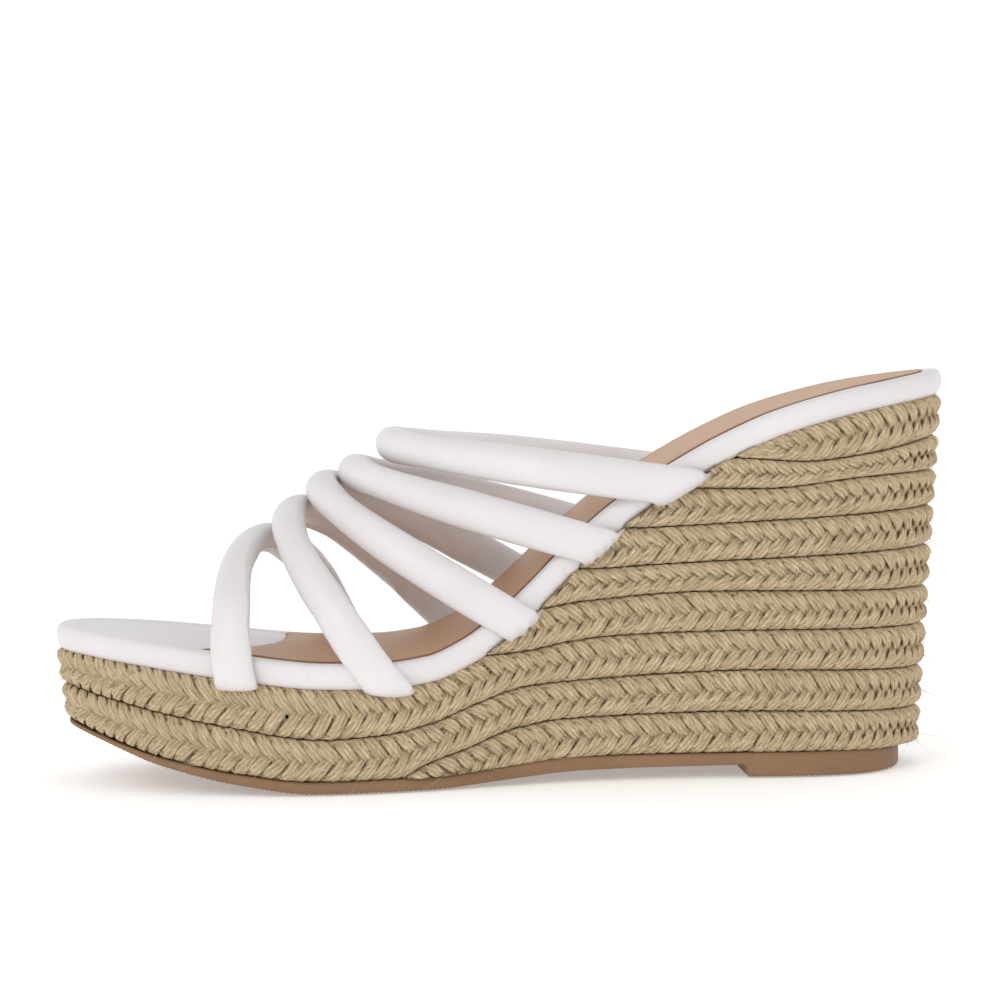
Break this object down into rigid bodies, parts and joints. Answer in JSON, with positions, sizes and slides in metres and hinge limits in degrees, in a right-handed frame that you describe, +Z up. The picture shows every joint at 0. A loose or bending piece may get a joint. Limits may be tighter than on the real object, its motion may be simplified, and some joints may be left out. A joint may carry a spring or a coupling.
{
  "type": "wedge sandal",
  "caption": "Backless wedge sandal with a braided jute wrapped sole, a padded white footbed and crossing padded tube straps over the instep.",
  "frame": {"origin": "middle of the sandal's bounding box seen from above, on the ground under the sole", "axes": "+X from the toe towards the heel, +Y towards the little-toe side, +Z up; right foot"},
  "size_m": [0.2344, 0.0918, 0.104],
  "materials": {
    "rubber_outsole": "matte tan-brown moulded rubber",
    "wedge_foam": "brown closed-cell foam",
    "jute_braid": "natural plaited jute, dry and fibrous",
    "white_upper": "soft white synthetic leather, satin",
    "fibreboard": "pressed cellulose board",
    "shank_steel": "rolled spring steel",
    "footbed_foam": "open-cell cushion foam",
    "tan_lining": "smooth tan synthetic leather, burnished edge",
    "strap_filling": "soft fibre stuffing"
  },
  "bodies": {
    "root": {"outsole": "rubber_outsole", "wedge_core": "wedge_foam", "jute_row_1": "jute_braid", "jute_row_2": "jute_braid", "jute_row_3": "jute_braid", "jute_row_4": "jute_braid", "jute_row_5": "jute_braid", "jute_row_6": "jute_braid", "jute_row_7": "jute_braid", "jute_row_8": "jute_braid", "jute_row_9": "jute_braid", "footbed_wrap": "white_upper", "insole_board": "fibreboard", "steel_shank": "shank_steel", "footbed_foam": "footbed_foam", "sock_lining": "tan_lining", "strap_1_cover": "white_upper", "strap_2_cover": "white_upper", "strap_3_cover": "white_upper", "strap_4_cover": "white_upper", "strap_5_cover": "white_upper", "strap_1_stuffing": "strap_filling", "strap_2_stuffing": "strap_filling", "strap_3_stuffing": "strap_filling", "strap_4_stuffing": "strap_filling", "strap_5_stuffing": "strap_filling"}
  },
  "joints": []
}
